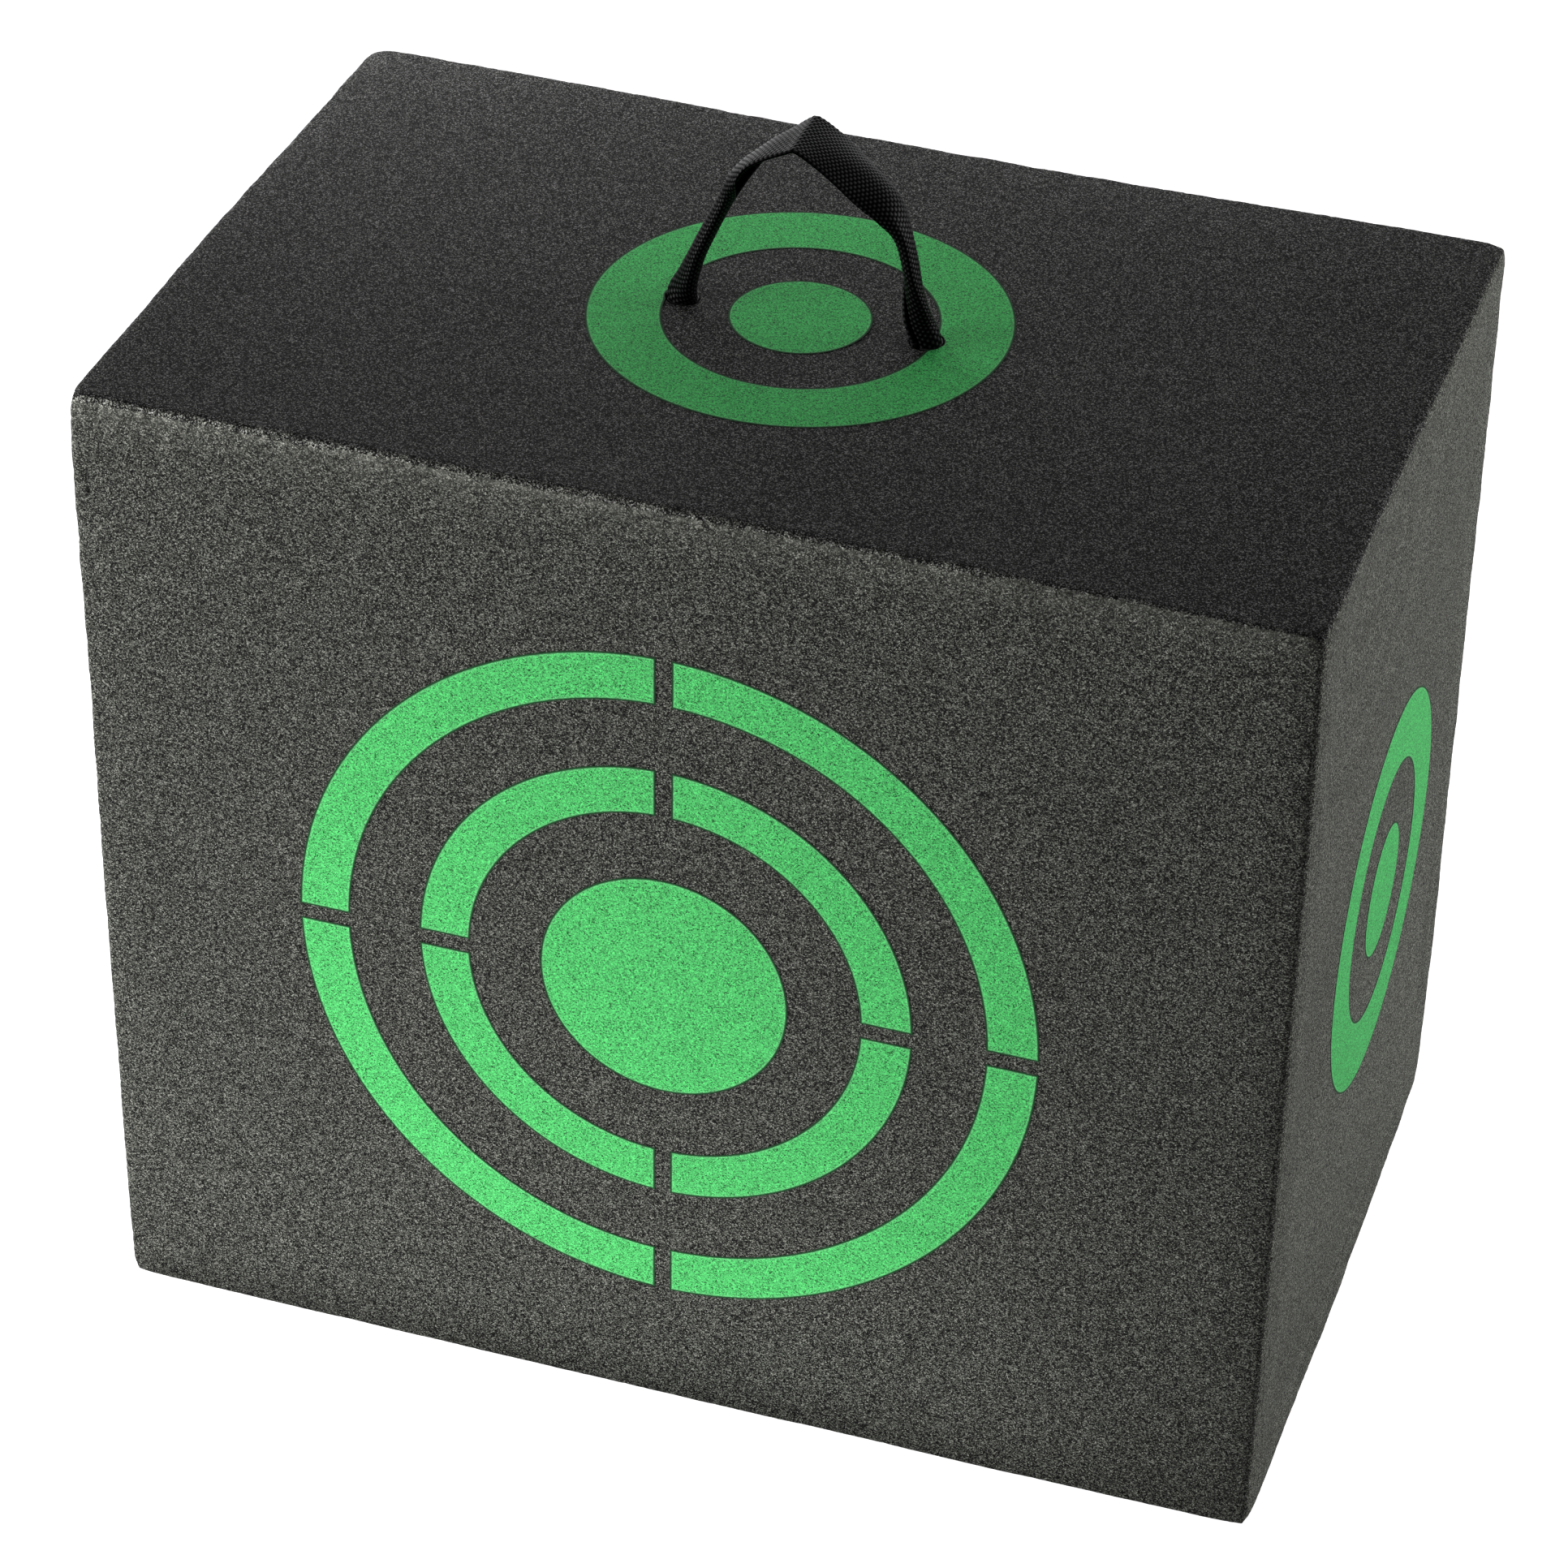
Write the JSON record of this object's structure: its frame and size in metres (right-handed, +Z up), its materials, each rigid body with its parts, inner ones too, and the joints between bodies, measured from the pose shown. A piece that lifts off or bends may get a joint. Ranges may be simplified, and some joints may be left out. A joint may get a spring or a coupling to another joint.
{
  "type": "archery target boss",
  "caption": "Block of fused closed-cell foam sheets with printed target rings on five faces and a webbing carry loop on top.",
  "frame": {"origin": "middle of the block's underside, on the surface it stands on", "axes": "+Z up, +Y from the main printed face into the block, +X to the right seen from the main face"},
  "size_m": [0.4006, 0.2506, 0.4164],
  "materials": {
    "foam": "charcoal grey closed-cell cross-linked polyethylene foam, sawn, with an open grain of cut cells",
    "ink": "matt green screen ink that follows the foam's grain",
    "webbing": "black woven polypropylene webbing",
    "rod": "natural nylon rod"
  },
  "bodies": {
    "block": {"foam_sheet_01": "foam", "foam_sheet_02": "foam", "foam_sheet_03": "foam", "foam_sheet_04": "foam", "foam_sheet_05": "foam", "foam_sheet_06": "foam", "foam_sheet_07": "foam", "foam_sheet_08": "foam", "foam_sheet_09": "foam", "foam_sheet_10": "foam", "front_spot": "ink", "front_inner_ring_upper_right": "ink", "front_inner_ring_upper_left": "ink", "front_inner_ring_lower_left": "ink", "front_inner_ring_lower_right": "ink", "front_outer_ring_upper_right": "ink", "front_outer_ring_upper_left": "ink", "front_outer_ring_lower_left": "ink", "front_outer_ring_lower_right": "ink", "back_spot": "ink", "back_inner_ring_upper_right": "ink", "back_inner_ring_upper_left": "ink", "back_inner_ring_lower_left": "ink", "back_inner_ring_lower_right": "ink", "back_outer_ring_upper_right": "ink", "back_outer_ring_upper_left": "ink", "back_outer_ring_lower_left": "ink", "back_outer_ring_lower_right": "ink", "right_spot": "ink", "right_ring": "ink", "left_spot": "ink", "left_ring": "ink", "top_spot": "ink", "top_ring": "ink", "tail_left": "webbing", "tail_right": "webbing", "anchor_rod": "rod"},
    "handle": {"carry_loop": "webbing"}
  },
  "joints": [
    {"name": "handle_flop", "type": "hinge", "parent": "block", "child": "handle", "pos_m": [-0.001, 0, 0.35581], "axis": [1, 0, 0], "range_deg": [-75, 75]}
  ]
}
